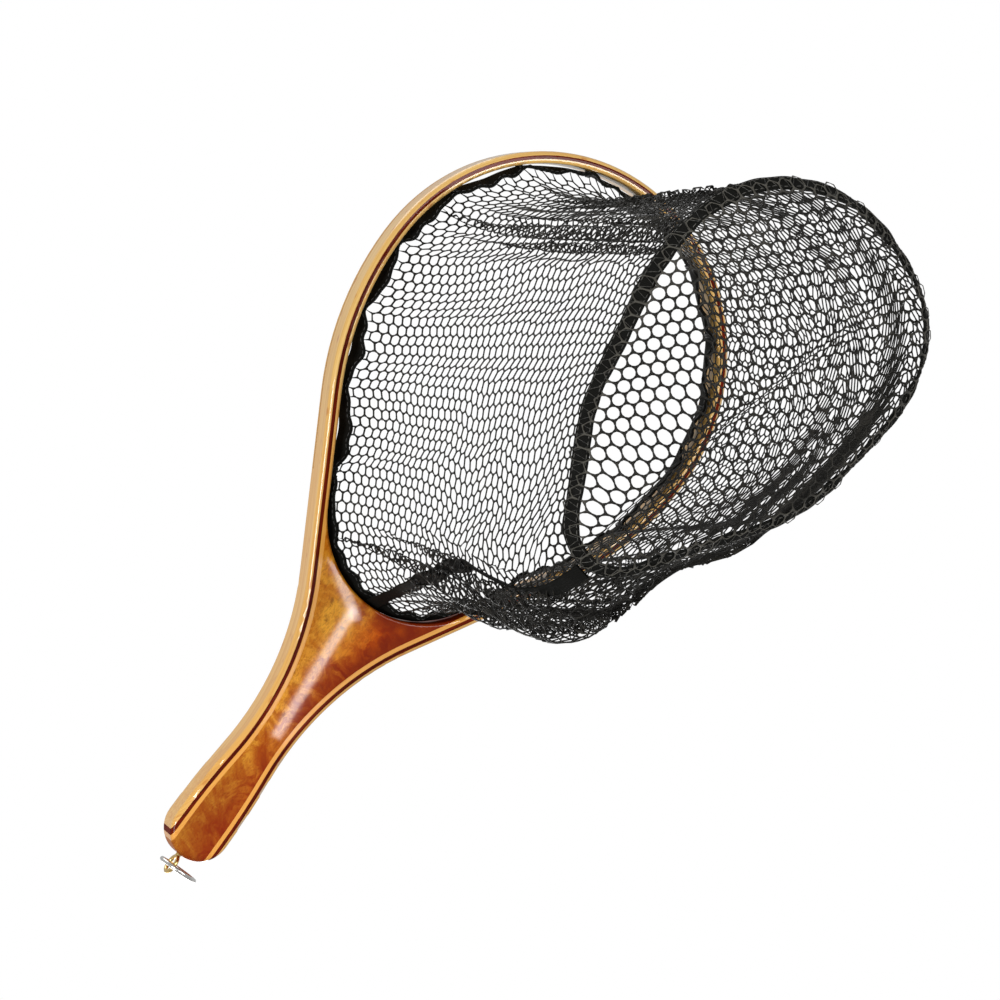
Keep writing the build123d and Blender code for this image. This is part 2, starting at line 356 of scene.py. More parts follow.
def netting_mesh(name, centres, place, widths, wrap=None):
    """Hexagonal knotless netting as one closed mesh. centres are cells in lattice units,
    place turns lattice points into points and surface normals, widths are half the cords'
    widths on a cell's sides, and wrap joins the last row to the first."""
    lattice = centres[:, None, :] + HEXAGON[None]
    if wrap:
        lattice[..., 1] %= wrap
    keys, corner = np.unique(lattice.reshape(-1, 2), axis=0, return_inverse=True)
    corner = corner.reshape(-1, 6)
    ridge, normal = place(keys.astype(float))
    heart, _ = place(centres.astype(float))
    following = np.roll(corner, -1, axis=1)
    middle = (ridge[corner] + ridge[following]) / 2
    rim = np.stack([ridge[corner], middle], axis=2).reshape(len(centres), 12, 3)
    inward = heart[:, None] - rim
    reach = np.linalg.norm(inward, axis=2, keepdims=True)
    width = np.stack([np.full(6, KNOT_WIDTH), widths], 1).reshape(1, 12, 1)
    rim = rim + inward / reach * np.minimum(width, 0.55 * reach)
    low = ridge - normal * CORD
    verts = np.vstack([ridge + normal * CORD, low, rim.reshape(-1, 3)])
    count, start = len(ridge), 2 * len(ridge)
    here = start + np.arange(len(centres))[:, None] * 12 + 2 * np.arange(6)[None]
    beside = start + np.arange(len(centres))[:, None] * 12 + (2 * np.arange(6)[None] + 2) % 12
    faces = []
    for offset, flip in ((0, False), (count, True)):
        a, b = corner + offset, following + offset
        for tri in ((a, here + 1, here), (a, b, here + 1), (b, beside, here + 1)):
            tri = np.stack(tri, -1).reshape(-1, 3)
            faces.append(tri[:, ::-1] if flip else tri)
    edges = np.stack([corner, following], -1).reshape(-1, 2)
    _, first, uses = np.unique(np.sort(edges, 1), axis=0, return_index=True, return_counts=True)
    open_edges = edges[first[uses == 1]]
    a, b = open_edges[:, 0], open_edges[:, 1]
    faces.append(np.stack([b, a, a + count], -1))
    faces.append(np.stack([b, a + count, b + count], -1))
    return mesh_object(name, verts, np.vstack(faces))


def mesh_object(name, verts, faces):
    """A mesh object from arrays of points and of faces that all have as many corners."""
    mesh = bpy.data.meshes.new(name)
    sides = faces.shape[1]
    mesh.vertices.add(len(verts))
    mesh.vertices.foreach_set("co", np.ascontiguousarray(verts, np.float32).ravel())
    mesh.loops.add(faces.size)
    mesh.loops.foreach_set("vertex_index", np.ascontiguousarray(faces, np.int32).ravel())
    mesh.polygons.add(len(faces))
    mesh.polygons.foreach_set("loop_start", np.arange(len(faces), dtype=np.int32) * sides)
    mesh.polygons.foreach_set("use_smooth", np.full(len(faces), True))
    mesh.update(calc_edges=True)
    mesh.validate()
    made = bpy.data.objects.new(name, mesh)
    bpy.context.scene.collection.objects.link(made)
    return made


def bag_wall():
    """The tube of netting, from inside the hem tape to inside the bottom binding."""
    columns, rows = np.meshgrid(np.arange(DEEP), np.arange(AROUND), indexing="ij")
    centres = np.stack([(4 * columns + 2 * (rows % 2)).ravel(), 6 * rows.ravel()], -1)
    lowest, highest = -2.0, 4.0 * DEEP
    share_of = EvenShares()

    def place(lattice):
        walked = lattice[:, 1] / (6 * AROUND)
        down = (lattice[:, 0] - lowest) / (highest - lowest)
        uneven = 0.0030 * bumps(walked + 0.3 * down, 41, (9, 14, 22))
        down = np.clip(down + uneven * np.sin(np.pi * down), 0, 1)
        down = down + 0.16 * near(walked, 0.22, 0.20) * down * (1 - down)
        drift = 0.0012 * bumps(walked - 0.4 * down, 42, (8, 19, 27))
        share = share_of(walked + drift, down)
        point = wall_point(share, down)
        tiny = 0.0015
        round_way = wall_point(share + tiny, down) - wall_point(share - tiny, down)
        down_way = wall_point(share, down + tiny) - wall_point(share, down - tiny)
        normal = np.cross(down_way, round_way)
        return point, normal / np.linalg.norm(normal, axis=1, keepdims=True)

    return netting_mesh("wall_netting", centres, place, WALL_WIDTHS, wrap=6 * AROUND)


# The bottom panel: its crease, how its netting is turned and stretched, how far from the binding
# its sag and crease reach full size, how far it is tucked in, and how far from the binding its
# netting is painted paler, a painted sheen where it lies over the tape
CREASE_START = (20 * MM, 175 * MM)
CREASE_WAY = (-0.29, 0.957)
CREASE_LENGTH = 190 * MM
PANEL_TURN = math.radians(12)
STRETCH_WAY = (-0.72, 0.69)
STRETCH = 0.10
SAG_REACH = 14 * MM
TUCKED_IN = 0.8 * MM
PAINTED_SHEEN_REACH = 3.5 * MM


def creased(x, y):
    """The bottom panel's sag and its long crease: the netting drawn into it, and its height."""
    from_x, from_y = x - CREASE_START[0], y - CREASE_START[1]
    along = from_x * CREASE_WAY[0] + from_y * CREASE_WAY[1]
    away = from_x * CREASE_WAY[1] - from_y * CREASE_WAY[0]
    away = away - 6 * MM * np.sin(np.pi * np.clip(along / CREASE_LENGTH, 0, 1))
    fading = np.clip((CREASE_LENGTH - along) / (90 * MM), 0, 1) ** 0.6
    window = fading * np.exp(-((away / (16 * MM)) ** 2))
    slid = -0.92 * away * window
    height = -3.5 * MM * window ** 2
    centre = RING_Y - 30 * MM
    height = height - 5.0 * MM * np.exp(-((x / 45) ** 2 + ((y - centre) / 65) ** 2) / MM**2)
    height = height + 0.8 * MM * np.sin(x / (9 * MM) + 1.0) * np.sin(y / (13 * MM))
    return x + slid * CREASE_WAY[1], y - slid * CREASE_WAY[0], height


def bottom_panel():
    """The flat netting bottom, cut to the binding."""
    radius = PANEL_CELL / math.sqrt(3)
    edge = np.linspace(0, 1, 400, endpoint=False)
    rim = ring_line(edge)
    columns, rows = np.meshgrid(np.arange(-15, 16), np.arange(-25, 26), indexing="ij")
    centres = np.stack([(4 * columns + 2 * (rows % 2)).ravel(), 6 * rows.ravel()], -1)
    turned = np.array([[math.cos(PANEL_TURN), math.sin(PANEL_TURN)],
                       [-math.sin(PANEL_TURN), math.cos(PANEL_TURN)]])

    def flat(lattice):
        spot = lattice * (PANEL_CELL / 4, radius / 4) @ turned
        spot = spot + STRETCH * np.outer(spot @ STRETCH_WAY, STRETCH_WAY)
        return spot + (0, RING_Y - 35 * MM)

    def place(lattice):
        spot = flat(lattice)
        gaps = np.linalg.norm(spot[:, None] - rim[None, :, :2], axis=2)
        nearest = gaps.argmin(1)
        outwards = np.where(inside(spot, rim[:, :2]), -1, 1) * gaps.min(1)
        inner = np.clip(-outwards / SAG_REACH, 0, 1)
        x, y, lifted = creased(*spot.T)
        height = rim[nearest, 2] + np.clip(outwards, -3.2 * MM, 4 * MM) * 1.05 - 1.7 * MM
        height = height + lifted * inner
        spot = spot + (np.stack([x, y], -1) - spot) * inner[:, None]
        return np.column_stack([spot, height]), np.tile([0.0, 0.0, 1.0], (len(spot), 1))

    spots = flat(centres.astype(float))
    kept = centres[inside(spots, rim[:, :2] + FOOT.outward(edge) * TUCKED_IN)]
    made = netting_mesh("panel_netting", kept, place, EVEN_WIDTHS)
    verts = np.empty(len(made.data.vertices) * 3, np.float32)
    made.data.vertices.foreach_get("co", verts)
    verts = verts.reshape(-1, 3)[:, :2]
    gaps = np.array([np.hypot(*(rim[:, :2] - vert).T).min() for vert in verts])
    # The cloth layer's first value here is the painted sheen near the binding: paler grey standing
    # in for highlights on the strands over the tape.
    lay_out(made, np.clip(1.6 - gaps / PAINTED_SHEEN_REACH, 0, 1), np.zeros(len(verts)))
    return made


def inside(points, outline):
    """Which points lie in a closed outline."""
    x, y = points[:, 0][:, None], points[:, 1][:, None]
    x1, y1 = outline[:, 0][None], outline[:, 1][None]
    x2, y2 = np.roll(x1, -1, 1), np.roll(y1, -1, 1)
    crosses = (y1 > y) != (y2 > y)
    with np.errstate(divide="ignore", invalid="ignore"):
        meet = (x2 - x1) * (y - y1) / (y2 - y1) + x1
    return (crosses & (x < meet)).sum(1) % 2 == 1


# ---------------------------------------------------------------- tapes, thread and cord


def ribbon(name, centre, across, normal, width, thick, closed=True):
    """Webbing as a rounded strip. centre, across and normal are arrays along its length."""
    half, round_off = width / 2, thick / 2
    profile = [(-half, 0.0), (-half + round_off * 0.5, 0.45), (-half + round_off * 1.6, 0.5),
               (half - round_off * 1.6, 0.5), (half - round_off * 0.5, 0.45), (half, 0.0),
               (half - round_off * 0.5, -0.45), (half - round_off * 1.6, -0.5),
               (-half + round_off * 1.6, -0.5), (-half + round_off * 0.5, -0.45)]
    verts = []
    for side, lift in profile:
        verts.append(centre + across * side + normal * (lift * thick))
    verts = np.stack(verts, 1)
    count, ring = verts.shape[:2]
    spans = count if closed else count - 1
    i = np.arange(spans)[:, None]
    j = np.arange(ring)[None]
    nxt, up = (i + 1) % count, (j + 1) % ring
    faces = np.stack([i * ring + j, nxt * ring + j, nxt * ring + up, i * ring + up], -1)
    made = mesh_object(name, verts.reshape(-1, 3), faces.reshape(-1, 4))
    steps = np.linalg.norm(np.diff(centre, axis=0, append=centre[:1]), axis=1)
    length = np.concatenate([[0], np.cumsum(steps)[:-1]])
    lay_out(made, np.repeat(length, ring), np.tile([p[0] for p in profile], count))
    return made


def lay_out(made, along, side):
    """Stores how far each point is along and across its strip, for the weave."""
    values = np.stack([along, side, np.zeros_like(side)], -1).astype(np.float32)
    layer = made.data.attributes.new("cloth", "FLOAT_VECTOR", "POINT")
    layer.data.foreach_set("vector", values.ravel())


def unit(vectors):
    """The same directions, one metre long."""
    return vectors / np.linalg.norm(vectors, axis=-1, keepdims=True)


def hem_frame(share):
    """The hem tape's middle, across and normal directions."""
    across = hem_across(share)
    centre = hem_line(share) + across * TAPE_WIDTH / 2
    along = unit(hem_line(share + 0.001) - hem_line(share - 0.001))
    return centre, across, unit(np.cross(along, across))


def ring_frame(share):
    """The bottom binding's middle, across and normal directions."""
    outward = FOOT.outward(share)
    tilt = np.radians(48 + 14 * bumps(share, 31, (7, 12, 19)) + 10 * bumps(share, 32, (29, 37)))
    tilt = tilt[..., None]
    across = np.concatenate([outward * np.cos(tilt), np.sin(tilt)], -1)
    centre = ring_line(share) + across * -0.5 * MM
    along = unit(ring_line(share + 0.001) - ring_line(share - 0.001))
    return centre, across, unit(np.cross(along, across))


def stitches(frame_at, count, side, thick, lift, zigzag=False):
    """Points and faces of a row of stitches on both faces of a tape, running along it or
    crossing it to and fro."""
    share = (np.arange(count) + 0.5) / count
    turns = np.where(np.arange(count) % 2, -2.0, 2.0)[:, None]
    ring = 6
    sections = ((-0.5, 0.25), (-0.36, 0.9), (0.0, 1.05), (0.36, 0.9), (0.5, 0.25))
    length = 0.78 / count
    verts, faces = [], []
    for face in (1, -1):
        for reach, swell in sections:
            centre, across, normal = frame_at(share + reach * length)
            dip = 0.22 * MM * (1 - abs(reach) * 2)
            offset = across * side * (turns * reach if zigzag else 1)
            middle = centre + offset + normal * face * (lift - 0.12 * MM + dip)
            for angle in 2 * np.pi * np.arange(ring) / ring:
                spread = across * math.cos(angle) + normal * math.sin(angle)
                verts.append(middle + spread * thick / 2 * swell)
    verts = np.stack(verts, 1)
    total = len(sections) * ring
    for first in (0, total):
        last = first + total - ring
        for start in range(first, last, ring):
            for j in range(ring):
                a, b = start + j, start + (j + 1) % ring
                faces.append((a, b, b + ring, a + ring))
        faces.append((first, first + 3, first + 2, first + 1))
        faces.append((first, first + 5, first + 4, first + 3))
        faces.append((last, last + 1, last + 2, last + 3))
        faces.append((last, last + 3, last + 4, last + 5))
    every = np.array(faces)[None] + (np.arange(count) * 2 * total)[:, None, None]
    return verts.reshape(-1, 3), every.reshape(-1, 4)


def tube(points, radius, closed=False):
    """Points and faces of a round tube along a line of points."""
    points = np.array(points, float)
    count, ring = len(points), 8
    ahead = np.roll(points, -1, 0) - np.roll(points, 1, 0)
    if not closed:
        ahead[0], ahead[-1] = points[1] - points[0], points[-1] - points[-2]
    ahead = unit(ahead)
    sides = [np.array(Vector(ahead[0]).orthogonal().normalized())]
    for before, after in zip(ahead, ahead[1:]):
        turn = Vector(before).rotation_difference(Vector(after))
        sides.append(np.array(turn @ Vector(sides[-1])))
    sides = np.array(sides)
    other = np.cross(ahead, sides)
    verts = []
    for angle in 2 * np.pi * np.arange(ring) / ring:
        verts.append(points + (sides * math.cos(angle) + other * math.sin(angle)) * radius)
    verts = np.stack(verts, 1).reshape(-1, 3)
    faces = []
    for i in range(count if closed else count - 1):
        for j in range(ring):
            a, b = i * ring + j, i * ring + (j + 1) % ring
            c, d = (i + 1) % count * ring + (j + 1) % ring, (i + 1) % count * ring + j
            faces.append((a, b, c, d))
    if not closed:
        for base, order in ((0, -1), ((count - 1) * ring, 1)):
            cap = [base + j for j in range(ring)][::order]
            for j in range(1, ring - 2, 2):
                faces.append((cap[0], cap[j], cap[j + 1], cap[j + 2]))
    return verts, np.array(faces)


def joined(name, pieces):
    """One object from several lists of points and four-cornered faces."""
    verts, faces, start = [], [], 0
    for v, f in pieces:
        verts.append(v)
        faces.append(f + start)
        start += len(v)
    return mesh_object(name, np.vstack(verts), np.vstack(faces))


def smooth_line(points, steps=6):
    """A Catmull-Rom curve through given points."""
    points = [np.array(p, float) for p in points]
    line = []
    for k in range(len(points) - 1):
        p0, p1 = points[max(k - 1, 0)], points[k]
        p2, p3 = points[k + 1], points[min(k + 2, len(points) - 1)]
        for s in np.linspace(0, 1, steps, endpoint=False):
            line.append(0.5 * (2 * p1 + (p2 - p0) * s + (2 * p0 - 5 * p1 + 4 * p2 - p3) * s**2
                               + (3 * p1 - p0 - 3 * p2 + p3) * s**3))
    return np.array(line + [points[-1]])


def hem_place(share):
    """The hem tape's middle, across and inward directions at one place."""
    centre, across, normal = (v[0] for v in hem_frame(np.array([share])))
    inner = np.append(-HEM.outward(np.array([share]))[0], 0.0)
    return centre, across, normal if np.dot(normal, inner) > 0 else -normal


# One lap of the lacing round the hem tape, in millimetres: down from its middle, and inwards
LAP = ((-5.3, -0.3), (-3.4, 1.5), (0.2, 1.5), (1.4, 0.0), (0.2, -1.2), (-3.0, -1.2))
LAP_GAP = 1.15 * MM
LACE_RADIUS = 0.5 * MM


def lacing_stitches():
    """Each stitch: out of its hole, over the tape and twice round it."""
    half = laced_half()
    pieces = []
    for k, share in enumerate(STATION_SHARES):
        distance = half - 2 * half * k / (STATIONS - 1)
        hole, way_out = hoop_point(distance, 0.6 * MM), hoop_point(distance, WOOD)
        centre, across, inward = hem_place(share)
        along = np.cross(across, inward)
        route = [np.append(hole, LACE_Z), np.append(way_out, LACE_Z)]
        for lap in (-0.5, 0.5):
            for lower, inner in LAP:
                off = (across * lower + inward * inner) * MM
                route.append(centre + off + along * lap * LAP_GAP)
        route.append(np.append(way_out, LACE_Z - 0.2 * MM))
        pieces.append(tube(smooth_line(route), LACE_RADIUS))
    return joined("lacing_stitches", pieces)


def lacing_knots():
    """A turned stopper knot inside the first and last stitches."""
    pieces = []
    for share in (STATION_SHARES[0], STATION_SHARES[-1]):
        centre, across, inward = hem_place(share)
        along = np.cross(across, inward)
        heart = centre + inward * 2.9 * MM - across * 1.5 * MM
        line = []
        for a in np.linspace(0, 2 * np.pi, 90, endpoint=False):
            r = 1.25 + 0.55 * math.cos(3 * a)
            line.append(heart + (along * r * math.cos(2 * a) + across * r * math.sin(2 * a)
                                 + inward * 0.62 * math.sin(3 * a)) * MM)
        pieces.append(tube(line, LACE_RADIUS, closed=True))
        for way in (-1, 1):
            tail = [heart + (along * way * aside + across * lower) * MM
                    for aside, lower in ((1.2, 0.0), (2.6, 1.2), (3.0, 3.6 + way * 0.6))]
            pieces.append(tube(smooth_line(tail), 0.46 * MM))
    return joined("lacing_stopper_knots", pieces)


# The seam tape's way down the wall: shares of its depth, and shares round the bag there
SEAM_DOWN = (0, 0.12, 0.28, 0.40, 0.55, 0.68, 0.85, 1)
SEAM_SHARES = (-0.004, -0.001, 0.009, 0.015, 0.021, 0.005, -0.010, -0.005)


def running_mean(values, width, **padding):
    """The mean of each value and its neighbours, an odd number of them in all."""
    padded = np.pad(values, width // 2, **padding)
    return np.convolve(padded, np.ones(width) / width, mode="valid")


def seam_tape():
    """The tape over the wall's closing seam, from the hem to the binding, wandering with it."""
    down = np.linspace(0.0, 0.985, 110)
    share = running_mean(np.interp(down, SEAM_DOWN, SEAM_SHARES), 17, mode="edge")
    wall = wall_point(share, down)
    ridge = np.stack([running_mean(line, 25, mode="reflect", reflect_type="odd")
                      for line in wall.T], -1)
    along = unit(np.gradient(ridge, axis=0))
    outward = np.concatenate([HEM.outward(share), np.zeros((len(share), 1))], -1)
    across = unit(np.cross(outward, along))
    normal = unit(np.cross(along, across))
    at_ends = 1 - near(down, 0.5, 0.3)
    ridge = ridge + normal * ((at_ends * 4.4 - 2.6) * MM)[:, None]
    twist = 0.35 * np.sin(down * 11)[:, None]
    across, normal = (across * np.cos(twist) + normal * np.sin(twist),
                      normal * np.cos(twist) - across * np.sin(twist))
    return ribbon("seam_tape", ridge, across, normal, SEAM_WIDTH, SEAM_THICK, closed=False)


# ---------------------------------------------------------------- materials


class Nodes:
    """A material being built, with short calls for its nodes."""

    def __init__(self, name):
        self.material = bpy.data.materials.new(name)
        self.material.use_nodes = True
        self.tree = self.material.node_tree
        self.shader = self.tree.nodes["Principled BSDF"]

    def link(self, value, socket):
        if isinstance(value, bpy.types.NodeSocket):
            self.tree.links.new(value, socket)
        else:
            socket.default_value = value

    def math(self, operation, *values):
        node = self.tree.nodes.new("ShaderNodeMath")
        node.operation = operation
        for socket, value in zip(node.inputs, values):
            self.link(value, socket)
        return node.outputs[0]

    def plus(self, first, second):
        return self.math("ADD", first, second)

    def minus(self, first, second):
        return self.math("SUBTRACT", first, second)

    def times(self, first, second):
        return self.math("MULTIPLY", first, second)

    def reach(self, x, y):
        """How far a place is from the middle of an arc."""
        return self.math("SQRT", self.plus(self.times(x, x), self.times(y, y)))

    def smooth(self, value, low, high, to_low=0.0, to_high=1.0):
        node = self.tree.nodes.new("ShaderNodeMapRange")
        node.interpolation_type = "SMOOTHSTEP"
        for key, number in zip(("Value", "From Min", "From Max", "To Min", "To Max"),
                               (value, low, high, to_low, to_high)):
            self.link(number, node.inputs[key])
        return node.outputs[0]

    def combine(self, x, y, z):
        node = self.tree.nodes.new("ShaderNodeCombineXYZ")
        for socket, value in zip(node.inputs, (x, y, z)):
            self.link(value, socket)
        return node.outputs[0]

    def split(self, vector):
        node = self.tree.nodes.new("ShaderNodeSeparateXYZ")
        self.link(vector, node.inputs[0])
        return node.outputs

    def object_place(self):
        return self.tree.nodes.new("ShaderNodeTexCoord").outputs["Object"]

    def attribute(self, name):
        node = self.tree.nodes.new("ShaderNodeAttribute")
        node.attribute_name = name
        return node.outputs["Vector"]

    def noise(self, vector, scale, detail=4.0, rough=0.55, distort=0.0):
        node = self.tree.nodes.new("ShaderNodeTexNoise")
        self.link(vector, node.inputs["Vector"])
        node.inputs["Scale"].default_value = scale
        node.inputs["Detail"].default_value = detail
        node.inputs["Roughness"].default_value = rough
        node.inputs["Distortion"].default_value = distort
        return node.outputs["Fac"]

    def cells(self, vector, scale):
        node = self.tree.nodes.new("ShaderNodeTexVoronoi")
        self.link(vector, node.inputs["Vector"])
        node.inputs["Scale"].default_value = scale
        return node.outputs["Distance"]

    def mix(self, share, first, second):
        node = self.tree.nodes.new("ShaderNodeMix")
        node.data_type = "RGBA"
        self.link(share, node.inputs[0])
        self.link(first, node.inputs[6])
        self.link(second, node.inputs[7])
        return node.outputs[2]

    def bump(self, height, strength, distance):
        node = self.tree.nodes.new("ShaderNodeBump")
        node.inputs["Strength"].default_value = strength
        node.inputs["Distance"].default_value = distance
        self.link(height, node.inputs["Height"])
        self.link(node.outputs[0], self.shader.inputs["Normal"])

    def put(self, **values):
        for key, value in values.items():
            self.link(value, self.shader.inputs[key.replace("_", " ")])
        return self.material


def colour(red, green, blue):
    """An opaque colour."""
    return (red, green, blue, 1.0)


def strip_place(n):
    """Distance along the bent strips and distance out from the hoop's outline, from the
    object's own coordinates, for the tip arc, side arcs, straight tapers and waist arcs."""
    x, y, z = n.split(n.object_place())
    x = n.math("ABSOLUTE", x)
    y = n.minus(y, HOOP_Y)

    quarter = TIP_RADIUS * math.pi / 2
    tip_out = n.minus(n.reach(x, y), TIP_RADIUS)
    tip_along = n.times(n.math("ARCTAN2", x, y), TIP_RADIUS)

    from_side = n.plus(x, SIDE_RADIUS - TIP_RADIUS)
    side_out = n.minus(n.reach(from_side, y), SIDE_RADIUS)
    side_angle = n.math("ARCTAN2", n.times(y, -1.0), from_side)
    side_along = n.plus(n.times(side_angle, SIDE_RADIUS), quarter)

    corner_x = SIDE_RADIUS * math.cos(TAPER) - (SIDE_RADIUS - TIP_RADIUS)
    corner_y = -SIDE_RADIUS * math.sin(TAPER)
    from_x, from_y = n.minus(x, corner_x), n.minus(y, corner_y)
    way_x, way_y = -math.sin(TAPER), -math.cos(TAPER)
    line_along = n.plus(n.times(from_x, way_x), n.times(from_y, way_y))
    line_out = n.plus(n.times(from_x, -way_y), n.times(from_y, way_x))

    base = quarter + SIDE_RADIUS * TAPER
    waist_start_x = WAIST_HALF_WIDTH + WAIST_RADIUS * (1 - math.cos(TAPER))
    run = (corner_x - waist_start_x) / math.sin(TAPER)
    waist_y = corner_y - run * math.cos(TAPER) - WAIST_RADIUS * math.sin(TAPER)
    from_waist_x = n.minus(WAIST_HALF_WIDTH + WAIST_RADIUS, x)
    from_waist_y = n.minus(y, waist_y)
    waist_out = n.minus(WAIST_RADIUS, n.reach(from_waist_x, from_waist_y))
    waist_angle = n.math("ARCTAN2", from_waist_y, from_waist_x)
    waist_along = n.minus(base + run + WAIST_RADIUS * TAPER, n.times(waist_angle, WAIST_RADIUS))

    on_tip = n.math("GREATER_THAN", y, 0.0)
    on_side = n.math("LESS_THAN", side_angle, TAPER)
    on_line = n.math("LESS_THAN", line_along, run)

    def choose(tip, side, line, waist):
        chosen = waist
        for test, value in ((on_line, line), (on_side, side), (on_tip, tip)):
            chosen = n.plus(n.times(test, value), n.times(n.minus(1.0, test), chosen))
        return chosen

    along = choose(tip_along, side_along, n.plus(line_along, base), waist_along)
    out = choose(tip_out, side_out, line_out, waist_out)
    return along, out, z


def pale_wood(name, light, dark, fleck, seed, stained=0.0):
    """Lacquered pale strip: long fine grain, warm bands and small brown flecks. The stain
    of the core runs a little way up the strip."""
    n = Nodes(name)
    along, out, z = strip_place(n)
    fine_place = n.combine(n.times(along, 14.0), n.times(out, 1500.0), n.times(z, 520.0))
    lines = n.noise(fine_place, 1.0 + seed, 5.0, 0.6, 0.4)
    broad_place = n.combine(n.times(along, 9.0), n.times(out, 120.0), n.times(z, 90.0))
    broad = n.noise(broad_place, 1.3 + seed, 3.0)
    tone = n.mix(n.smooth(lines, 0.30, 0.72), light, dark)
    tone = n.mix(n.smooth(broad, 0.35, 0.75, 0.0, 0.55), tone, fleck)
    spots = n.cells(n.combine(n.times(along, 95.0), n.times(out, 260.0), n.times(z, 260.0)), 1.0)
    rare = n.noise(n.combine(n.times(along, 60.0), out, n.times(z, 150.0)), 1.0, 2.0)
    spot = n.times(n.smooth(spots, 0.30, 0.12), n.smooth(rare, 0.48, 0.57))
    tone = n.mix(n.times(spot, 0.80), tone, colour(0.46, 0.17, 0.03))
    stain = n.mix(n.smooth(lines, 0.30, 0.72),
                  colour(0.78, 0.37, 0.06), colour(0.66, 0.25, 0.028))
    tone = n.mix(n.smooth(along, 0.24, 0.33, 0.0, stained), tone, stain)
    n.bump(lines, 0.12, 0.0004)
    return n.put(Base_Color=tone, Roughness=n.smooth(lines, 0.2, 0.8, 0.30, 0.42),
                 Specular_IOR_Level=0.25, Coat_Weight=0.9, Coat_Roughness=0.07)


def dark_wood():
    """The red-brown middle strip: close dark pores along the strip."""
    n = Nodes("rosewood_strip")
    along, out, z = strip_place(n)
    grain_place = n.combine(n.times(along, 22.0), n.times(out, 1400.0), n.times(z, 700.0))
    lines = n.noise(grain_place, 1.0, 5.0, 0.65, 0.3)
    tone = n.mix(n.smooth(lines, 0.32, 0.7),
                 colour(0.17, 0.013, 0.002), colour(0.034, 0.003, 0.001))
    n.bump(lines, 0.15, 0.0003)
    return n.put(Base_Color=tone, Roughness=n.smooth(lines, 0.2, 0.8, 0.28, 0.4),
                 Specular_IOR_Level=0.0, Coat_Weight=0.18, Coat_Roughness=0.06)


def burl_wood():
    """Stained burl: cloudy orange figure with small eyes, darker red towards its edges."""
    n = Nodes("stained_burl")
    _, out, _ = strip_place(n)
    place = n.object_place()
    warp = n.noise(place, 38.0, 5.0, 0.6, 1.6)
    x, y, height = n.split(place)
    bent = n.combine(n.plus(x, n.times(warp, 0.020)), n.plus(y, n.times(warp, 0.016)), height)
    cloud = n.noise(bent, 62.0, 6.0, 0.62, 1.2)
    fine = n.noise(n.combine(n.times(x, 2.2), y, height), 420.0, 4.0, 0.6, 0.8)
    eyes = n.cells(bent, 110.0)
    # The figure is golden towards +x and darker red towards -x, and lower down it darkens towards
    # the grip.
    side = n.smooth(n.plus(x, n.times(n.minus(cloud, 0.5), 0.024)), -0.015, 0.012)
    dark_side = n.mix(side, colour(0.29, 0.018, 0.0003), colour(0.50, 0.13, 0.004))
    pale_side = n.mix(side, colour(0.54, 0.085, 0.001), colour(0.82, 0.38, 0.035))
    tone = n.mix(n.smooth(cloud, 0.34, 0.66), dark_side, pale_side)
    tone = n.mix(n.smooth(fine, 0.42, 0.70, 0.0, 0.5), tone, colour(0.26, 0.045, 0.004))
    tone = n.mix(n.smooth(eyes, 0.22, 0.05, 0.0, 0.6), tone, colour(0.14, 0.02, 0.003))
    inner = n.times(n.plus(out, WOOD), -1.0)
    throat_y = float(mouth(WOOD).at(np.array([0.0]))[0, 1]) + THROAT_RADIUS
    rim = n.minus(n.reach(x, n.minus(y, throat_y)), THROAT_RADIUS)
    ragged = n.times(n.minus(cloud, 0.5), 0.012)
    burst = n.smooth(n.plus(inner, ragged), 0.001, 0.017, 1.0, 0.0)
    edge = n.smooth(n.plus(rim, ragged), 0.001, 0.014, 1.0, 0.0)
    far_side = n.smooth(n.plus(x, n.times(ragged, 2.0)), 0.010, -0.022, 0.15, 1.0)
    to_grip = n.smooth(n.plus(y, n.times(cloud, 0.03)), 0.075, -0.01, 0.0, 0.62)
    near_edges = n.times(n.math("MAXIMUM", burst, edge), far_side)
    shade = n.math("MAXIMUM", n.times(near_edges, 0.85), to_grip)
    tone = n.mix(shade, tone, colour(0.17, 0.014, 0.001))
    sagged = n.noise(place, 24.0, 2.0)
    n.bump(n.plus(n.times(fine, 0.003), sagged), 1.0, 0.0004)
    return n.put(Base_Color=tone, Roughness=n.smooth(fine, 0.3, 0.7, 0.30, 0.40),
                 Specular_IOR_Level=0.0, Coat_Weight=0.35, Coat_Roughness=0.03)


def webbing(name, tone, gloss):
    """Black twill webbing, its ribs and edge yarns worked out from the strip's own lay-out."""
    n = Nodes(name)
    along, side, _ = n.split(n.attribute("cloth"))
    slant = n.plus(n.times(along, 5200.0), n.times(side, 5200.0))
    rib = n.math("SINE", slant)
    pick = n.math("SINE", n.times(side, 9000.0))
    weave = n.plus(n.times(rib, 0.35), n.times(pick, 0.25))
    fuzz = n.noise(n.object_place(), 900.0, 3.0, 0.7)
    height = n.plus(weave, n.times(fuzz, 0.6))
    worn = n.noise(n.object_place(), 130.0, 3.0, 0.6)
    high = colour(*[2.2 * c + 0.003 for c in tone[:3]])
    shade = n.mix(n.smooth(height, -0.3, 0.9), tone, high)
    shade = n.mix(n.smooth(worn, 0.55, 0.8, 0.0, 0.4), shade, colour(0.014, 0.014, 0.013))
    n.bump(height, 0.6, 0.0002)
    return n.put(Base_Color=shade, Roughness=n.smooth(fuzz, 0.3, 0.7, gloss, gloss + 0.2),
                 Specular_IOR_Level=0.06)


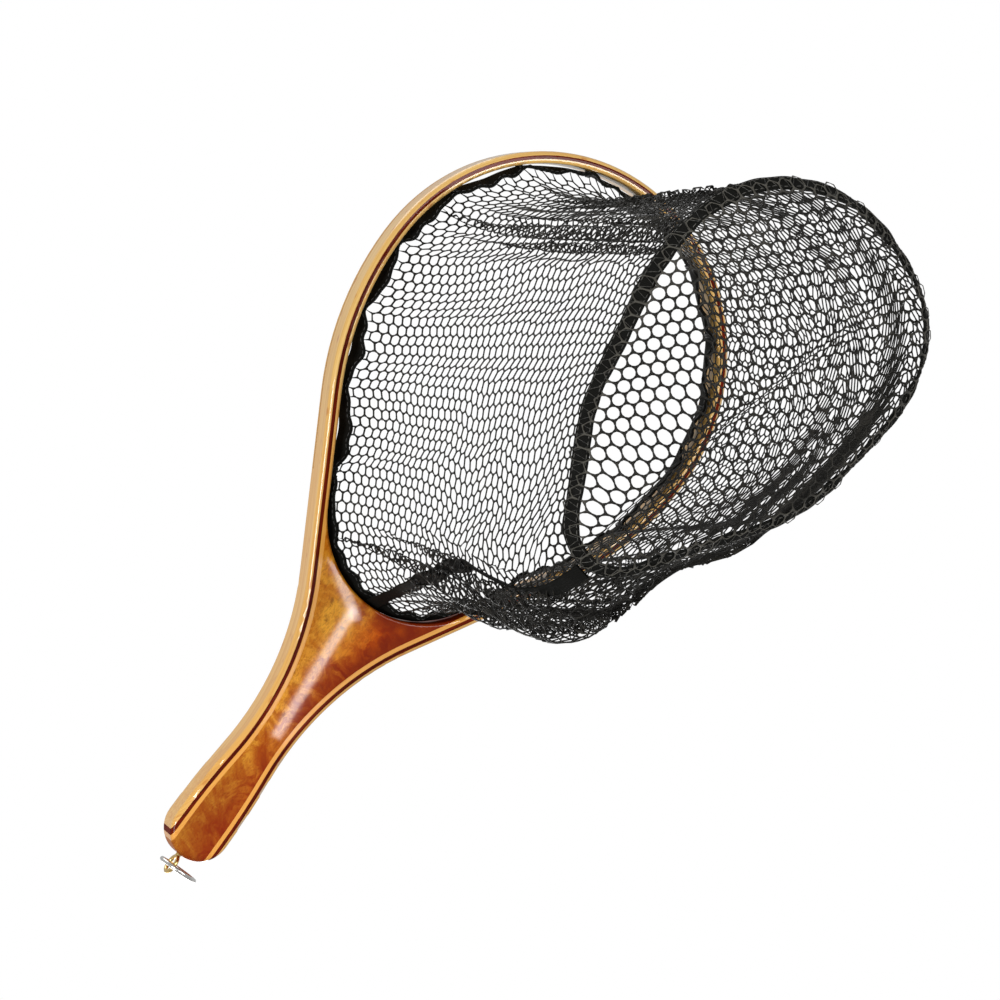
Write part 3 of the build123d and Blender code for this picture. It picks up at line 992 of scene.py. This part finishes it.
def netting_yarn():
    """Soft black nylon netting: fine twisted fibres, paler patches of dust and painted sheen, a
    painted sheen near the binding, and a dull shine.
    """
    n = Nodes("nylon_netting")
    place = n.object_place()
    fibre = n.noise(place, 2600.0, 3.0, 0.7)
    dust_and_sheen = n.noise(place, 60.0, 4.0, 0.6)
    tone = n.mix(n.smooth(fibre, 0.35, 0.70),
                 colour(0.002, 0.002, 0.002), colour(0.024, 0.022, 0.018))
    # Paler grey patches: partly dust, partly a painted sheen standing in for highlights on the
    # strands.
    tone = n.mix(n.smooth(dust_and_sheen, 0.48, 0.74, 0.0, 0.55), tone, colour(0.060, 0.055, 0.045))
    # Painted sheen: strands near the binding are painted paler grey, standing in for their
    # highlights over the black tape.
    painted_sheen, _, _ = n.split(n.attribute("cloth"))
    tone = n.mix(n.times(painted_sheen, n.smooth(fibre, 0.25, 0.6, 0.35, 1.0)), tone,
                 colour(0.085, 0.080, 0.068))
    n.bump(fibre, 0.5, 0.00015)
    return n.put(Base_Color=tone, Roughness=n.smooth(fibre, 0.3, 0.7, 0.34, 0.52),
                 Specular_IOR_Level=0.16)


def yarn(name, low, high, scale, rough):
    """Twisted cord or thread with fine strands."""
    n = Nodes(name)
    place = n.object_place()
    strand = n.noise(place, scale, 4.0, 0.7, 0.5)
    tone = n.mix(n.smooth(strand, 0.35, 0.68), low, high)
    n.bump(strand, 0.7, 0.0002)
    return n.put(Base_Color=tone, Roughness=n.smooth(strand, 0.3, 0.7, rough, rough + 0.18))


def metal(name, tone, worn, rough):
    """Plated or solid metal with fine scratches and dull patches."""
    n = Nodes(name)
    place = n.object_place()
    x, y, z = n.split(place)
    scratch = n.noise(n.combine(n.times(x, 6.0), y, n.times(z, 3.0)), 900.0, 4.0, 0.7)
    patch = n.noise(place, 240.0, 4.0, 0.6)
    shade = n.mix(n.smooth(patch, 0.45, 0.75, 0.0, 0.6), tone, worn)
    n.bump(scratch, 0.15, 0.0001)
    return n.put(Base_Color=shade, Metallic=1.0,
                 Roughness=n.smooth(patch, 0.35, 0.7, rough, rough + 0.16))


def floor_material():
    """A plain pale grey floor."""
    n = Nodes("studio_floor")
    cloud = n.noise(n.object_place(), 0.8, 3.0)
    tone = n.mix(cloud, colour(0.66, 0.66, 0.65), colour(0.72, 0.72, 0.71))
    return n.put(Base_Color=tone, Roughness=0.85)


def paint(obj, material):
    """Gives a piece its one material."""
    obj.data.materials.clear()
    obj.data.materials.append(material)


# ---------------------------------------------------------------- stage


def add_area(name, place, target, size, power, long_way=(0, 0, 1)):
    """A soft rectangular light, its second size lying along long_way."""
    light = bpy.data.lights.new(name, "AREA")
    light.shape = "RECTANGLE"
    light.size, light.size_y = size
    light.energy = power
    back = (Vector(place) - Vector(target)).normalized()
    side = Vector(long_way).cross(back).normalized()
    turned = Matrix((side, back.cross(side), back)).transposed()
    obj = bpy.data.objects.new(name, light)
    obj.matrix_world = Matrix.Translation(place) @ turned.to_4x4()
    bpy.context.scene.collection.objects.link(obj)


def build_stage():
    """The camera, a pale floor far below, a pale sky and soft lights."""
    camera = bpy.data.cameras.new("camera")
    camera.lens, camera.sensor_width = 90.0, 36.0
    holder = bpy.data.objects.new("camera", camera)
    holder.location = CAMERA_PLACE
    holder.rotation_euler = [math.radians(a) for a in CAMERA_TURN]
    bpy.context.scene.collection.objects.link(holder)
    bpy.context.scene.camera = holder

    world = bpy.data.worlds.new("studio")
    world.use_nodes = True
    tree = world.node_tree
    background = tree.nodes["Background"]
    background.inputs[0].default_value = (1.0, 1.0, 1.0, 1.0)
    seen = tree.nodes.new("ShaderNodeLightPath")
    level = tree.nodes.new("ShaderNodeMapRange")
    level.inputs["To Min"].default_value = 0.55
    level.inputs["To Max"].default_value = 1.0
    tree.links.new(seen.outputs["Is Camera Ray"], level.inputs["Value"])
    tree.links.new(level.outputs[0], background.inputs[1])
    bpy.context.scene.world = world
    scene = bpy.context.scene
    scene.view_settings.view_transform = "Standard"
    scene.view_settings.look = "None"

    bpy.ops.mesh.primitive_plane_add(size=60.0, location=(0, 0, -3.2))
    floor = bpy.context.object
    floor.name = "studio_floor"
    floor.data.materials.append(floor_material())

    centre = (0, 0.2, -0.1)
    add_area("key_below", (1.3, -1.0, -1.3), centre, (0.9, 0.6), 30.0)
    add_area("fill_below", (-0.2, 0.9, -1.9), centre, (1.0, 0.5), 20.0)
    wedge = (0, 0.1, 0)
    add_area("grip_strip", (-0.422, 0.130, -1.13), wedge, (0.009, 0.15), 0.125, (0.09, 1, 0))
    add_area("rim_strip", (-0.392, 0.216, -1.13), wedge, (0.010, 0.075), 0.055, (0.80, 0.48, 0))
    add_area("key_above", (-0.9, -0.8, 1.5), centre, (0.9, 0.9), 24.0)
    add_area("fill_above", (1.3, 1.2, 1.1), centre, (1.2, 1.2), 12.0)


# ---------------------------------------------------------------- build


def build_frame():
    """The wooden frame and metal fittings keep their CAD shapes."""
    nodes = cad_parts
    pale = (colour(0.75, 0.48, 0.145), colour(0.60, 0.34, 0.085), colour(0.62, 0.30, 0.055))
    paint(nodes["outer_lamination"], pale_wood("ash_outer_strip", *pale, 0.0, 0.35))
    paint(nodes["inner_lamination"], pale_wood("ash_inner_strip", *pale, 0.37, 1.0))
    paint(nodes["middle_lamination"], dark_wood())
    paint(nodes["handle_core"], burl_wood())
    tan = (colour(0.30, 0.15, 0.05), colour(0.58, 0.34, 0.13))
    paint(nodes["lacing_cord"], yarn("waxed_lacing", *tan, 1500.0, 0.42))
    brass = metal("polished_brass", colour(0.80, 0.56, 0.22), colour(0.46, 0.30, 0.12), 0.16)
    steel = metal("nickel_wire", colour(0.72, 0.71, 0.69), colour(0.42, 0.41, 0.40), 0.14)
    paint(nodes["screw_eye"], brass)
    paint(nodes["split_ring"], steel)


def build_bag():
    """Netting, tapes, thread and lacing."""
    mesh = netting_yarn()
    tape = webbing("black_webbing", colour(0.0025, 0.0025, 0.002), 0.62)
    black = (colour(0.012, 0.012, 0.012), colour(0.07, 0.07, 0.07))
    thread = yarn("black_thread", *black, 3000.0, 0.4)
    # The binding thread's paler warm grey is partly dust and partly a painted sheen standing in
    # for its highlights.
    dust_and_sheen = (colour(0.012, 0.012, 0.010), colour(0.085, 0.080, 0.070))
    worn = yarn("worn_thread_painted_sheen", *dust_and_sheen, 700.0, 0.4)
    laced = (colour(0.008, 0.008, 0.008), colour(0.05, 0.05, 0.05))
    cord = yarn("black_lacing", *laced, 1800.0, 0.45)

    top = float(hem_line(np.array([0.5]))[0, 2]) - UNDER_HEM

    wall = bag_wall()
    seam = seam_tape()
    for piece, node, look, slot in ((wall, "bag_wall", mesh, "netting"),
                                    (seam, "side_seam_tape", tape, "tape")):
        paint(piece, look)
        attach(piece, "frame")
        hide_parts(node)
        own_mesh(piece)

    share = np.linspace(0, 1, 480, endpoint=False)
    hem = ribbon("hem_webbing", *hem_frame(share), TAPE_WIDTH, HEM_THICK)
    binding = ribbon("binding_webbing", *ring_frame(share), BINDING_WIDTH, BINDING_THICK)
    hem_row = stitches(hem_frame, 232, 3.7 * MM, 0.45 * MM, 0.75 * MM)
    hem_thread = joined("hem_thread", [hem_row])
    rows = [stitches(ring_frame, 168, side, 0.45 * MM, 0.7 * MM) for side in (2.8 * MM, -2.8 * MM)]
    rows.append(stitches(ring_frame, 148, 3.3 * MM, 0.6 * MM, 0.75 * MM, zigzag=True))
    binding_thread = joined("binding_thread", rows)
    pieces = (
        (hem, "frame", "hem_tape", tape, "tape"),
        (binding, "bag_bottom", "bottom_binding", tape, "tape"),
        (hem_thread, "frame", "hem_stitching", thread, "thread"),
        (binding_thread, "bag_bottom", "binding_stitching", worn, "thread"),
        (bottom_panel(), "bag_bottom", "bottom_panel", mesh, "netting"),
        (lacing_stitches(), "frame", "lacing_loops", cord, "cord"),
        (lacing_knots(), "frame", "lacing_knots", cord, "cord"),
    )
    for piece, body, node, look, slot in pieces:
        paint(piece, look)
        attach(piece, body)
        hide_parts(node)


build_stage()
build_frame()
build_bag()
